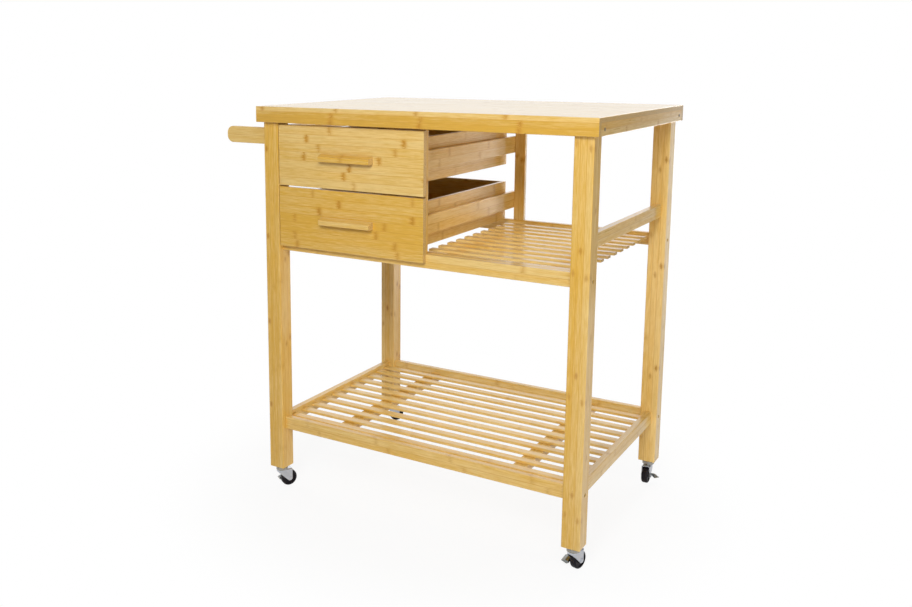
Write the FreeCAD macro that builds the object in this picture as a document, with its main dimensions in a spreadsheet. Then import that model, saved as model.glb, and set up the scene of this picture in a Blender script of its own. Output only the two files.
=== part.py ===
"""Bamboo kitchen cart: two drawers, two slatted shelves, towel bar and four braked swivel casters.

Millimetres and degrees. +Z is up, the drawers face -Y and the towel bar is at -X. The origin is on
the floor, under the middle of the cart's outer box.
"""

import FreeCAD, Part
import os
import re
import Sketcher

SIZES = [
    # Worktop
    ("cart_height", 923.2, "floor to worktop surface"),
    ("top_length", 810, "worktop along X"),
    ("top_depth", 572, "worktop along Y"),
    ("panel_thick", 10, "worktop panel"),
    ("panel_round", 1.5, "rounding of the panel's rim"),
    ("edge_thick", 12, "boards under the rim, also the overhang past the legs"),
    ("edge_height", 26, "boards under the rim"),
    # Frame
    ("leg_size", 40, "square leg"),
    ("leg_round", 2, "rounding of the leg's long edges"),
    ("rail_thick", 15, "rails and arms of the towel bar"),
    ("rail_height", 30, "rails"),
    ("board_round", 1.5, "rounding of the edges of rails and boards"),
    ("bottom_rail_rise", 98, "leg foot to underside of bottom rails"),
    ("mid_rail_rise", 536, "leg foot to underside of middle rails"),
    ("side_rail_step", 42, "middle rail top to underside of the right side rail"),
    ("tenon_length", 14, "stub tenons"),
    ("tenon_thick", 8, "stub tenons"),
    ("tenon_shoulder", 5, "rail above and below its tenon"),
    ("tenon_play", 0.1, "mortise beyond the tenon, each way"),
    ("post_width", 28, "posts beside the drawers, along X"),
    ("post_depth", 12, "posts beside the drawers, along Y"),
    ("drawer_bay", 351, "left legs to posts"),
    # Frame bolts and barrel nuts
    ("bolt_diameter", 5, "shank"),
    ("bolt_play", 0.25, "bore around the shank"),
    ("thread_play", 0.05, "barrel nut around the shank"),
    ("head_diameter", 7.5, "bolt head"),
    ("head_height", 4, "bolt head"),
    ("head_sink", 6, "counterbore depth in the leg"),
    ("head_play", 0.3, "counterbore around the head"),
    ("socket_width", 4, "round socket in the bolt head"),
    ("socket_depth", 2.5, "round socket in the bolt head"),
    ("nut_diameter", 10, "barrel nut"),
    ("nut_length", 12, "barrel nut"),
    ("nut_play", 0.1, "bore around the barrel nut"),
    ("nut_inset", 28, "rail end to barrel nut axis"),
    ("bolt_tip", 2, "bolt beyond the barrel nut"),
    # Shelves
    ("slat_width", 20, "shelf slats"),
    ("slat_thick", 6, "shelf slats"),
    ("slat_round", 2, "rounding of the slats' long edges"),
    ("slat_count", 11, "slats in each shelf"),
    ("bottom_slat_drop", 9, "rail top to slat top, bottom shelf"),
    ("mid_slat_drop", 5, "rail top to slat top, middle shelf"),
    ("slat_end_gap", 1, "slat end to rail or leg"),
    ("slat_lap", 8, "middle slats past the posts' left faces"),
    ("batten_width", 30, "bearers under the slats"),
    ("bottom_batten_inset", 126, "bottom slat end to batten"),
    ("mid_batten_inset", 45, "middle slat end to batten"),
    # Drawers
    ("runner_thick", 12, "grooved drawer runners"),
    ("runner_height", 42, "grooved drawer runners"),
    ("groove_depth", 8, "groove in the runner"),
    ("guide_height", 10, "drawer guide"),
    ("guide_play", 0.3, "runner groove around the guide"),
    ("guide_setback", 10, "drawer front to guide"),
    ("front_thick", 12, "drawer front"),
    ("front_height", 138, "drawer front"),
    ("front_leg_gap", 3, "leg to drawer front"),
    ("front_lap", 1.6, "drawer front past the post"),
    ("front_gap", 3.5, "between the drawer fronts"),
    ("front_top_gap", 4, "worktop edge to upper drawer front"),
    ("front_rail_gap", 0.5, "drawer front to middle rail"),
    ("box_height", 98, "drawer sides"),
    ("box_wall", 10, "drawer sides and back"),
    ("box_length", 488, "drawer sides"),
    ("box_side_gap", 1, "drawer side to runner"),
    ("bottom_thick", 4, "drawer bottom"),
    ("bottom_rise", 8, "drawer side's lower edge to its bottom panel"),
    ("bottom_groove", 5, "groove depth for the bottom panel"),
    ("bottom_play", 0.1, "groove around the bottom panel"),
    ("pull_width", 136, "drawer pull"),
    ("pull_height", 16.5, "drawer pull"),
    ("pull_depth", 16, "drawer pull"),
    ("pull_bevel", 1.5, "slope of the pull's ends"),
    ("pull_nose", 11, "upright face of the pull"),
    ("pull_round", 1.2, "rounding of the pull's upright face"),
    ("pull_shift", 4, "middle of the drawer front to middle of the pull, to the left"),
    ("pull_lip", 4.5, "wall in front of the finger recess"),
    ("pull_wall", 3, "wall behind and beside the finger recess"),
    ("pull_recess", 7, "depth of the finger recess"),
    # Towel bar
    ("arm_reach", 120, "leg to tip of arm"),
    ("arm_height", 38, "arm"),
    ("arm_round", 16, "rounding of the arm's tip"),
    ("arm_drop", 14, "underside of worktop edge to arm"),
    ("bar_diameter", 20, "round bar"),
    ("bar_inset", 19, "arm tip to bar axis"),
    ("bar_seat", 6, "depth of the bar's seats in the arms"),
    ("bar_play", 0.05, "seat around the bar"),
    # Casters
    ("caster_height", 55.2, "floor to leg foot"),
    ("wheel_diameter", 39, "wheel"),
    ("wheel_width", 15.2, "wheel"),
    ("wheel_round", 4, "rounding of the tread's edges"),
    ("rim_width", 5, "tread ring outside the wheel's side dish"),
    ("dish_depth", 2, "dish in the wheel's sides"),
    ("hub_diameter", 13, "wheel hub"),
    ("hub_gap", 0.4, "hub to fork cheek"),
    ("trail", 16.8, "stem axis to axle"),
    ("cheek_gap", 0.9, "wheel to fork cheek"),
    ("fork_thick", 1.6, "pressed fork sheet"),
    ("fork_round", 3.2, "outer rounding of the fork's shoulders"),
    ("fork_lead", 13, "stem axis to leading edge of fork"),
    ("fork_flange", 4, "height of the fork's leading edge"),
    ("crown_round", 9.5, "rounding of the crown's leading corners, seen from above"),
    ("cheek_margin", 6, "fork cheek behind and below the axle"),
    ("cheek_nose", 3, "foot of the fork cheek ahead of the axle"),
    ("cheek_round", 5.5, "rounding of the cheek's lower corners"),
    ("axle_diameter", 5, "axle"),
    ("axle_play", 0.05, "wheel bore and lever eye around the axle"),
    ("rivet_diameter", 7.5, "axle head on the plain side"),
    ("rivet_height", 1.2, "axle heads"),
    ("rivet_round", 0.6, "rounding of the axle heads"),
    ("cup_diameter", 28, "bearing cup under the leg"),
    ("cup_neck", 24, "bearing cup against the leg"),
    ("cup_lip", 4.5, "height of the cup's widest band"),
    ("race_gap", 0.3, "fork to cup and to spindle head"),
    ("spindle_diameter", 8, "stem and spindle"),
    ("spindle_play", 0.05, "fork hole and leg bore around the stem"),
    ("spindle_head", 12, "head under the fork's crown"),
    ("spindle_head_height", 1.5, "head under the fork's crown"),
    ("stem_length", 32, "stem inside the leg"),
    ("stem_end_gap", 1, "leg bore past the stem"),
    ("lever_thick", 1.3, "brake lever sheet"),
    ("lever_gap", 0.3, "lever eye to cheek and to axle head"),
    ("lever_length", 16, "lever along the wheel"),
    ("lever_reach", 18, "lever out from the cheek"),
    ("lever_knee", 7, "cheek to the lever's crest"),
    ("lever_crest", 0.8, "lever crest above its root"),
    ("lever_drop", 1, "lever tip below the axle"),
    ("lever_lip", 5, "lip at the lever's leading end, below the axle"),
    ("lever_shift", 11, "middle of the lever, ahead of the axle"),
    ("lever_tilt", 23, "slope of the applied lever"),
    ("eye_diameter", 11, "eye of the lever around the axle"),
    ("lever_head", 7, "axle head on the lever's side"),
    ("head_clear", 0.8, "lever root to axle head"),
    ("swivel_front_left", 61, "trail direction from +X"),
    ("swivel_front_right", 76, "trail direction from +X"),
    ("swivel_rear_left", 52, "trail direction from +X"),
    ("swivel_rear_right", 272, "trail direction from +X"),
]

LAYOUT = [
    # Frame outline: the outer box, towel bar and pulls included, is centred on the origin
    ("leg_span_x", "top_length - 2 * edge_thick", "outer faces of the legs"),
    ("leg_span_y", "top_depth - 2 * edge_thick", "outer faces of the legs"),
    ("leg_left", "(arm_reach - edge_thick - leg_span_x) / 2", "outer face of the left legs"),
    ("leg_right", "leg_left + leg_span_x", "outer face of the right legs"),
    ("leg_front", "(pull_depth - edge_thick - leg_span_y) / 2", "front face of the front legs"),
    ("leg_rear", "leg_front + leg_span_y", "rear face of the rear legs"),
    ("leg_top", "cart_height - panel_thick", "underside of the panel"),
    ("leg_length", "leg_top - caster_height", "legs"),
    ("under_edge", "leg_top - edge_height", "underside of the worktop's edge boards"),
    ("bay_left", "leg_left + leg_size", "inner face of the left legs"),
    ("bay_right", "leg_right - leg_size", "inner face of the right legs"),
    ("bay_front", "leg_front + leg_size", "inner face of the front legs"),
    ("bay_rear", "leg_rear - leg_size", "inner face of the rear legs"),
    ("rail_recess", "(leg_size - rail_thick) / 2", "leg face to rail face"),
    ("rail_front", "leg_front + rail_recess", "front face of the front rails"),
    ("rail_rear", "leg_rear - rail_recess", "rear face of the rear rails"),
    ("shelf_front", "rail_front + rail_thick", "inner face of the front rails"),
    ("shelf_rear", "rail_rear - rail_thick", "inner face of the rear rails"),
    ("bottom_rail_z", "caster_height + bottom_rail_rise", "underside of the bottom rails"),
    ("mid_rail_z", "caster_height + mid_rail_rise", "underside of the middle rails"),
    ("side_rail_z", "mid_rail_z + rail_height + side_rail_step", "underside of the right side rail"),
    ("tenon_height", "rail_height - 2 * tenon_shoulder", "rail tenons"),
    ("post_left", "bay_left + drawer_bay", "left face of the posts"),
    ("post_foot", "mid_rail_z + rail_height", "top of the middle rails"),
    # Shelves
    ("slat_gap", "(shelf_rear - shelf_front - slat_count * slat_width) / (slat_count + 1)", "gaps"),
    ("slat_pitch", "slat_width + slat_gap", "slat to slat"),
    ("bottom_batten_thick", "rail_height - bottom_slat_drop - slat_thick", "flush under the rails"),
    ("mid_batten_thick", "rail_height - mid_slat_drop - slat_thick", "flush under the rails"),
    # Drawers
    ("front_back", "rail_front - front_rail_gap", "back of the drawer fronts"),
    ("front_left", "bay_left + front_leg_gap", "left edge of the drawer fronts"),
    ("front_width", "post_left + post_width + front_lap - front_left", "drawer fronts"),
    ("upper_front_z", "under_edge - front_top_gap - front_height", "lower edge of the upper front"),
    ("lower_front_z", "upper_front_z - front_gap - front_height", "lower edge of the lower front"),
    ("box_left", "bay_left + runner_thick + box_side_gap", "outer face of the left drawer sides"),
    ("box_right", "post_left - runner_thick - box_side_gap", "outer face of the right drawer sides"),
    ("box_inside", "box_right - box_left - 2 * box_wall", "clear width of the drawers"),
    ("groove_height", "guide_height + 2 * guide_play", "groove in the runner"),
    ("guide_reach", "box_side_gap + groove_depth - guide_play", "guide out from the drawer side"),
    ("back_height", "box_height - bottom_rise - bottom_thick", "drawer back, on the bottom panel"),
    # Frame bolts
    ("bolt_low", "bottom_rail_rise + rail_height / 2", "lower bolts above the leg foot"),
    ("bolt_high", "mid_rail_rise + rail_height / 2", "upper bolts above the leg foot"),
    ("bolt_reach", "nut_inset + nut_diameter / 2 + bolt_tip", "bolt inside the rail"),
    ("nut_sink", "nut_length + nut_play", "depth of the barrel nut's bore"),
    # Towel bar
    ("arm_z", "under_edge - arm_drop - arm_height", "underside of the arms"),
    ("arm_inset", "(leg_size - rail_thick) / 2", "leg face to arm face"),
    ("arm_tip", "leg_left - arm_reach", "tip of the arms"),
    # Casters
    ("axle_z", "wheel_diameter / 2", "axle above the floor"),
    ("cheek_in", "wheel_width / 2 + cheek_gap", "inner face of the fork cheeks"),
    ("cheek_out", "cheek_in + fork_thick", "outer face of the fork cheeks"),
    ("crown_in", "wheel_diameter + 2 * cheek_gap + spindle_head_height - race_gap", "under the crown"),
    ("crown_out", "crown_in + fork_thick", "top of the fork's crown"),
    ("lever_root", "lever_head / 2 + head_clear", "lever root above the axle"),
    ("lever_in", "cheek_out + lever_gap", "inner face of the lever's eye"),
    ("lever_out", "lever_in + lever_thick", "outer face of the lever's eye"),
]

SIZE_NAMES = {row[0] for row in SIZES}
LAYOUT_NAMES = {row[0] for row in LAYOUT}

doc = FreeCAD.newDocument("kitchen_cart")
pieces = []
cuts = []


def fill_sheet(name, rows):
    """A sheet with one named value per row."""
    sheet = doc.addObject("Spreadsheet::Sheet", name)
    for row, (alias, content, note) in enumerate(rows, start=1):
        sheet.set(f"A{row}", alias)
        sheet.set(f"B{row}", str(content))
        sheet.set(f"C{row}", note)
        sheet.setAlias(f"B{row}", alias)
    doc.recompute()
    return sheet


def qualify(expression, layout_prefix="Layout."):
    """Put the sheet's name before each named value."""

    def prefix(match):
        word = match.group(0)
        if word in SIZE_NAMES:
            return "Sizes." + word
        if word in LAYOUT_NAMES:
            return layout_prefix + word
        return word

    return re.sub(r"[a-z_]+", prefix, expression)


fill_sheet("Sizes", SIZES)
layout = fill_sheet("Layout", [(alias, "=" + qualify(rule, ""), note) for alias, rule, note in LAYOUT])


def number(expression):
    """Present value of an expression."""
    return float(layout.evalExpression(qualify(expression, "")))


def bind(thing, prop, expression):
    thing.setExpression(prop, qualify(expression))


def new_body(label, x="0", y="0", z="0"):
    """An empty sub-part whose own origin lies at x, y, z."""
    body = doc.addObject("PartDesign::Body", label)
    body.Label = label
    body.AllowCompound = True
    bind(body, "Placement.Base.x", x)
    bind(body, "Placement.Base.y", y)
    bind(body, "Placement.Base.z", z)
    pieces.append(body)
    return body


def origin_feature(body, role):
    return next(item for item in body.Origin.OriginFeatures if item.Role == role)


def new_sketch(body, plane, offset="0"):
    """A sketch on one of the body's own planes, shifted along the plane's normal."""
    sketch = body.newObject("Sketcher::SketchObject", f"{body.Name}_sketch")
    sketch.AttachmentSupport = [(origin_feature(body, plane), "")]
    sketch.MapMode = "FlatFace"
    bind(sketch, "AttachmentOffset.Base.z", offset)
    return sketch


def hold(sketch, kind, target, expression):
    """Tie one sketch dimension to an expression."""
    index = sketch.addConstraint(Sketcher.Constraint(kind, *target, number(expression)))
    bind(sketch, f"Constraints[{index}]", expression)


def hold_point(sketch, line, end, point):
    """Tie a sketch point to its two coordinates."""
    hold(sketch, "DistanceX", (-1, 1, line, end), point[0])
    hold(sketch, "DistanceY", (-1, 1, line, end), point[1])


def draw_outline(sketch, points):
    """A closed outline of straight lines through the points."""
    corners = [FreeCAD.Vector(number(across), number(up), 0) for across, up in points]
    count = len(corners)
    lines = [Part.LineSegment(corners[k], corners[(k + 1) % count]) for k in range(count)]
    first = sketch.addGeometry(lines, False)[0]
    for k in range(count):
        sketch.addConstraint(Sketcher.Constraint("Coincident", first + k, 2, first + (k + 1) % count, 1))
        hold_point(sketch, first + k, 1, points[k])


def draw_rectangle(sketch, across, up, width, height):
    right = f"{across} + {width}"
    top = f"{up} + {height}"
    draw_outline(sketch, [(across, up), (right, up), (right, top), (across, top)])


def draw_circle(sketch, across, up, diameter):
    centre = FreeCAD.Vector(number(across), number(up), 0)
    circle = Part.Circle(centre, FreeCAD.Vector(0, 0, 1), number(diameter) / 2)
    index = sketch.addGeometry(circle, False)
    hold(sketch, "Diameter", (index,), diameter)
    hold_point(sketch, index, 3, (across, up))


def pad(body, sketch, length, symmetric=False, reverse=False):
    """Material along the sketch's normal, or against it, or half each way."""
    feature = body.newObject("PartDesign::Pad", f"{body.Name}_pad")
    feature.Profile = sketch
    bind(feature, "Length", length)
    feature.SideType = "Symmetric" if symmetric else "One side"
    feature.Reversed = reverse
    doc.recompute()
    return feature


def pocket(body, sketch, depth, reverse=False):
    """A cut against the sketch's normal, or along it."""
    feature = body.newObject("PartDesign::Pocket", f"{body.Name}_pocket")
    feature.Profile = sketch
    bind(feature, "Length", depth)
    feature.Reversed = reverse
    doc.recompute()
    cuts.append(feature)
    return feature


# A face of a board: the plane its sketch lies on, the board size that it lies at, the sign of that
# shift along the plane's normal, and whether a cut into the board runs along that normal
FACES = {
    "left": ("YZ_Plane", None, 1, True),
    "right": ("YZ_Plane", 0, 1, False),
    "front": ("XZ_Plane", None, 1, False),
    "rear": ("XZ_Plane", 1, -1, True),
    "bottom": ("XY_Plane", None, 1, True),
    "top": ("XY_Plane", 2, 1, False),
}


def face_sketch(body, face, extent):
    """A sketch on a face of a board, with the board's own axes as its axes."""
    plane, axis, sign, _ = FACES[face]
    offset = "0" if axis is None else f"{sign} * ({extent[axis]})"
    return new_sketch(body, plane, offset)


def cut_face(body, face, sketch, depth):
    """A cut into a board from one of its faces."""
    pocket(body, sketch, depth, reverse=FACES[face][3])


def round_edges(body, base, radius, chosen):
    """Round the edges of the base feature that the test picks."""
    names = [f"Edge{k}" for k, edge in enumerate(base.Shape.Edges, start=1) if chosen(edge)]
    feature = body.newObject("PartDesign::Fillet", f"{body.Name}_round")
    feature.Base = (base, names)
    bind(feature, "Radius", radius)
    doc.recompute()
    return feature


def runs_along(axis):
    """Test for straight edges along X, Y or Z."""
    nearly_one = 0.999

    def chosen(edge):
        if edge.Curve.TypeId != "Part::GeomLine":
            return False
        return abs(edge.tangentAt(edge.FirstParameter)[axis]) > nearly_one

    return chosen


def lies_at(axis, place):
    """Test for edges whose middle is at a coordinate, in the body's own frame."""
    tolerance = 0.01

    def chosen(edge):
        return abs(edge.CenterOfMass[axis] - place) < tolerance

    return chosen


def both(first, second):
    return lambda edge: first(edge) and second(edge)


def board(label, place, extent, grain, radius="board_round"):
    """A plain board with its lower front left corner at its place, rounded along its grain."""
    body = new_body(label, *place)
    sketch = new_sketch(body, "XY_Plane")
    draw_rectangle(sketch, "0", "0", extent[0], extent[1])
    base = pad(body, sketch, extent[2])
    round_edges(body, base, radius, runs_along("XYZ".index(grain)))
    return body


# Worktop


def make_worktop():
    panel = new_body("worktop_panel", "leg_left - edge_thick", "leg_front - edge_thick", "leg_top")
    sketch = new_sketch(panel, "XY_Plane")
    draw_rectangle(sketch, "0", "0", "top_length", "top_depth")
    base = pad(panel, sketch, "panel_thick")
    round_edges(panel, base, "panel_round", lies_at(2, number("panel_thick")))

    left = "leg_left - edge_thick"
    front = "leg_front - edge_thick"
    long_board = ("top_length", "edge_thick", "edge_height")
    side_board = ("edge_thick", "leg_span_y", "edge_height")
    edge_boards = [
        ("front", (left, front, "under_edge"), long_board, "X"),
        ("rear", (left, "leg_rear", "under_edge"), long_board, "X"),
        ("left", (left, "leg_front", "under_edge"), side_board, "Y"),
        ("right", ("leg_right", "leg_front", "under_edge"), side_board, "Y"),
    ]
    for side, place, extent, grain in edge_boards:
        body = new_body(f"worktop_edge_{side}", *place)
        sketch = new_sketch(body, "XY_Plane")
        draw_rectangle(sketch, "0", "0", extent[0], extent[1])
        base = pad(body, sketch, extent[2])
        lower = both(runs_along("XYZ".index(grain)), lies_at(2, 0))
        round_edges(body, base, "board_round", lower)


# Frame


def make_leg(front_or_rear, left_or_right):
    x = "leg_left" if left_or_right == "left" else "bay_right"
    y = "leg_front" if front_or_rear == "front" else "bay_rear"
    extent = ("leg_size", "leg_size", "leg_length")
    leg = board(f"leg_{front_or_rear}_{left_or_right}", (x, y, "caster_height"), extent, "Z", "leg_round")

    stem = face_sketch(leg, "bottom", extent)
    draw_circle(stem, "leg_size / 2", "leg_size / 2", "spindle_diameter + 2 * spindle_play")
    cut_face(leg, "bottom", stem, "stem_length + stem_end_gap")

    bores = face_sketch(leg, left_or_right, extent)
    sinks = face_sketch(leg, left_or_right, extent)
    for height in ("bolt_low", "bolt_high"):
        draw_circle(bores, "leg_size / 2", height, "bolt_diameter + 2 * bolt_play")
        draw_circle(sinks, "leg_size / 2", height, "head_diameter + 2 * head_play")
    cut_face(leg, left_or_right, bores, "leg_size")
    cut_face(leg, left_or_right, sinks, "head_sink")

    inner = "rear" if front_or_rear == "front" else "front"
    mortises = face_sketch(leg, inner, extent)
    rails = ["bottom_rail_z"] + (["side_rail_z"] if left_or_right == "right" else [])
    for rail in rails:
        draw_rectangle(
            mortises,
            "(leg_size - tenon_thick) / 2 - tenon_play",
            f"{rail} - caster_height + tenon_shoulder - tenon_play",
            "tenon_thick + 2 * tenon_play",
            "tenon_height + 2 * tenon_play",
        )
    cut_face(leg, inner, mortises, "tenon_length + tenon_play")

    if left_or_right == "left":
        arm = face_sketch(leg, "left", extent)
        draw_rectangle(
            arm,
            "(leg_size - tenon_thick) / 2 - tenon_play",
            "arm_z - caster_height + tenon_shoulder - tenon_play",
            "tenon_thick + 2 * tenon_play",
            "arm_height - 2 * tenon_shoulder + 2 * tenon_play",
        )
        cut_face(leg, "left", arm, "tenon_length + tenon_play")


def make_long_rail(label, front_or_rear, z):
    """A rail along X, bored at both ends for a bolt and from behind for its barrel nut."""
    y = "rail_front" if front_or_rear == "front" else "shelf_rear"
    extent = ("bay_right - bay_left", "rail_thick", "rail_height")
    rail = board(label, ("bay_left", y, z), extent, "X")
    for face in ("left", "right"):
        bore = face_sketch(rail, face, extent)
        draw_circle(bore, "rail_thick / 2", "rail_height / 2", "bolt_diameter + 2 * bolt_play")
        cut_face(rail, face, bore, "bolt_reach + bolt_play")
    inner = "rear" if front_or_rear == "front" else "front"
    nuts = face_sketch(rail, inner, extent)
    for x in ("nut_inset", "bay_right - bay_left - nut_inset"):
        draw_circle(nuts, x, "rail_height / 2", "nut_diameter + 2 * nut_play")
    cut_face(rail, inner, nuts, "nut_sink")


def make_side_rail(label, left_or_right, z):
    """A rail along Y with a stub tenon at each end."""
    x = "leg_left + rail_recess" if left_or_right == "left" else "leg_right - rail_recess - rail_thick"
    extent = ("rail_thick", "bay_rear - bay_front", "rail_height")
    rail = board(label, (x, "bay_front", z), extent, "Y")
    tenons = new_sketch(rail, "XZ_Plane", "tenon_length")
    draw_rectangle(
        tenons, "(rail_thick - tenon_thick) / 2", "tenon_shoulder", "tenon_thick", "tenon_height"
    )
    pad(rail, tenons, "bay_rear - bay_front + 2 * tenon_length", reverse=True)


def make_frame():
    for front_or_rear in ("front", "rear"):
        for left_or_right in ("left", "right"):
            make_leg(front_or_rear, left_or_right)
        make_long_rail(f"bottom_rail_{front_or_rear}", front_or_rear, "bottom_rail_z")
        make_long_rail(f"mid_rail_{front_or_rear}", front_or_rear, "mid_rail_z")
    make_side_rail("bottom_rail_left", "left", "bottom_rail_z")
    make_side_rail("bottom_rail_right", "right", "bottom_rail_z")
    make_side_rail("mid_rail_right", "right", "side_rail_z")
    post = ("post_width", "post_depth", "leg_top - post_foot")
    board("post_front", ("post_left", "rail_front", "post_foot"), post, "Z")
    board("post_rear", ("post_left", "rail_rear - post_depth", "post_foot"), post, "Z")


def make_bolts():
    """Eight bolts through the legs into the ends of the long rails."""
    body = new_body("frame_bolts", "leg_left", "leg_front", "caster_height")
    seats = [("head_sink", False), ("leg_span_x - head_sink", True)]
    leg_middles = ("leg_size / 2", "leg_span_y - leg_size / 2")
    places = [(y, z) for y in leg_middles for z in ("bolt_low", "bolt_high")]
    for seat, from_right in seats:
        shanks = new_sketch(body, "YZ_Plane", seat)
        heads = new_sketch(body, "YZ_Plane", seat)
        for y, z in places:
            draw_circle(shanks, y, z, "bolt_diameter")
            draw_circle(heads, y, z, "head_diameter")
        pad(body, shanks, "leg_size - head_sink + bolt_reach", reverse=from_right)
        pad(body, heads, "head_height", reverse=not from_right)
        outer = f"{seat} + head_height" if from_right else f"{seat} - head_height"
        sockets = new_sketch(body, "YZ_Plane", outer)
        for y, z in places:
            draw_circle(sockets, y, z, "socket_width")
        pocket(body, sockets, "socket_depth", reverse=not from_right)


def make_barrel_nuts():
    """Eight cross-bored cylinders, flush with the inner faces of the long rails."""
    body = new_body("barrel_nuts", "bay_left", "rail_front", "caster_height")
    inner_faces = [("rail_thick", False), ("rail_rear - rail_front - rail_thick", True)]
    columns = ("nut_inset", "bay_right - bay_left - nut_inset")
    rows = ("bolt_low", "bolt_high")
    for inner, at_rear in inner_faces:
        sketch = new_sketch(body, "XZ_Plane", f"-({inner})")
        for x in columns:
            for z in rows:
                draw_circle(sketch, x, z, "nut_diameter")
        pad(body, sketch, "nut_length", reverse=at_rear)
    threads = new_sketch(body, "YZ_Plane")
    for y in ("rail_thick / 2", "rail_rear - rail_front - rail_thick / 2"):
        for z in rows:
            draw_circle(threads, y, z, "bolt_diameter + 2 * thread_play")
    pocket(body, threads, "bay_right - bay_left", reverse=True)


# Shelves


def make_shelf(name, left, right):
    """Slats along X on two battens that run from the front rail to the rear rail."""
    rail_z = f"{name}_rail_z"
    batten_thick = f"{name}_batten_thick"
    slat_z = f"{rail_z} + {batten_thick}"
    slats = new_body(f"{name}_shelf_slats", left, "shelf_front + slat_gap", slat_z)
    section = new_sketch(slats, "XY_Plane")
    draw_rectangle(section, "0", "0", f"{right} - ({left})", "slat_width")
    first = pad(slats, section, "slat_thick")
    row = slats.newObject("PartDesign::LinearPattern", f"{name}_shelf_row")
    row.Originals = [first]
    row.Direction = (origin_feature(slats, "Y_Axis"), [""])
    bind(row, "Length", "slat_pitch * (slat_count - 1)")
    bind(row, "Occurrences", "slat_count")
    slats.Tip = row
    doc.recompute()
    round_edges(slats, row, "slat_round", runs_along(0))

    battens = new_body(f"{name}_shelf_battens", left, "shelf_front", rail_z)
    footprint = new_sketch(battens, "XY_Plane")
    inset = f"{name}_batten_inset"
    far = f"{right} - ({left}) - {inset} - batten_width"
    for x in (inset, far):
        draw_rectangle(footprint, x, "0", "batten_width", "shelf_rear - shelf_front")
    pad(battens, footprint, batten_thick)


def make_shelves():
    side_face = "rail_recess + rail_thick + slat_end_gap"
    make_shelf("bottom", f"leg_left + {side_face}", f"leg_right - ({side_face})")
    make_shelf("mid", "post_left - slat_lap", "bay_right - slat_end_gap")


# Drawers


def make_runner(drawer, left_or_right):
    """A board on the leg or post, grooved towards the drawer."""
    x = "bay_left" if left_or_right == "left" else "post_left - runner_thick"
    z = f"{drawer}_front_z + (front_height - runner_height) / 2"
    extent = ("runner_thick", "rail_rear - rail_front", "runner_height")
    runner = board(f"{drawer}_runner_{left_or_right}", (x, "rail_front", z), extent, "Y")
    towards = "right" if left_or_right == "left" else "left"
    groove = face_sketch(runner, towards, extent)
    draw_rectangle(groove, "0", "(runner_height - groove_height) / 2", extent[1], "groove_height")
    cut_face(runner, towards, groove, "groove_depth")


def make_drawer_side(drawer, left_or_right, z):
    x = "box_left" if left_or_right == "left" else "box_right - box_wall"
    extent = ("box_wall", "box_length", "box_height")
    side = board(f"{drawer}_drawer_side_{left_or_right}", (x, "front_back", z), extent, "Y")
    inward = "right" if left_or_right == "left" else "left"
    groove = face_sketch(side, inward, extent)
    draw_rectangle(
        groove, "0", "bottom_rise - bottom_play", "box_length", "bottom_thick + 2 * bottom_play"
    )
    cut_face(side, inward, groove, "bottom_groove")


def make_pull(drawer):
    """A bar with a sloping top and ends, hollowed from below for the fingers."""
    x = "front_left + (front_width - pull_width) / 2 - pull_shift"
    z = f"{drawer}_front_z + (front_height - pull_height) / 2"
    pull = new_body(f"{drawer}_drawer_pull", x, "front_back - front_thick", z)
    back = new_sketch(pull, "XZ_Plane")
    draw_rectangle(back, "0", "0", "pull_width", "pull_height")
    nose = new_sketch(pull, "XZ_Plane", "pull_depth")
    draw_rectangle(nose, "pull_bevel", "0", "pull_width - 2 * pull_bevel", "pull_nose")
    body = pull.newObject("PartDesign::AdditiveLoft", f"{drawer}_pull_loft")
    body.Profile = back
    body.Sections = [nose]
    body.Ruled = True
    doc.recompute()
    round_edges(pull, body, "pull_round", lies_at(1, -number("pull_depth")))
    recess = new_sketch(pull, "XY_Plane")
    draw_rectangle(
        recess,
        "pull_bevel + pull_wall",
        "pull_lip - pull_depth",
        "pull_width - 2 * (pull_bevel + pull_wall)",
        "pull_depth - pull_lip - pull_wall",
    )
    pocket(pull, recess, "pull_recess", reverse=True)


def make_guides(drawer):
    """The two bars on the drawer's sides that run in the grooves."""
    z = f"{drawer}_front_z + (front_height - guide_height) / 2"
    guides = new_body(f"{drawer}_drawer_guides", "box_left", "front_back + guide_setback", z)
    section = new_sketch(guides, "XZ_Plane")
    for x in ("-guide_reach", "box_right - box_left"):
        draw_rectangle(section, x, "0", "guide_reach", "guide_height")
    pad(guides, section, "box_length - guide_setback", reverse=True)


def make_drawer(drawer):
    front_z = f"{drawer}_front_z"
    box_z = f"{front_z} + (front_height - box_height) / 2"
    panel_z = f"{box_z} + bottom_rise"
    front = ("front_width", "front_thick", "front_height")
    board(f"{drawer}_drawer_front", ("front_left", "front_back - front_thick", front_z), front, "X")
    for left_or_right in ("left", "right"):
        make_runner(drawer, left_or_right)
        make_drawer_side(drawer, left_or_right, box_z)

    bottom = new_body(
        f"{drawer}_drawer_bottom", "box_left + box_wall - bottom_groove + bottom_play", "front_back", panel_z
    )
    panel = new_sketch(bottom, "XY_Plane")
    draw_rectangle(panel, "0", "0", "box_inside + 2 * (bottom_groove - bottom_play)", "box_length")
    pad(bottom, panel, "bottom_thick")

    back = ("box_inside", "box_wall", "back_height")
    back_place = ("box_left + box_wall", "front_back + box_length - box_wall", f"{panel_z} + bottom_thick")
    board(f"{drawer}_drawer_back", back_place, back, "X")
    make_pull(drawer)
    make_guides(drawer)


# Towel bar


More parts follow.
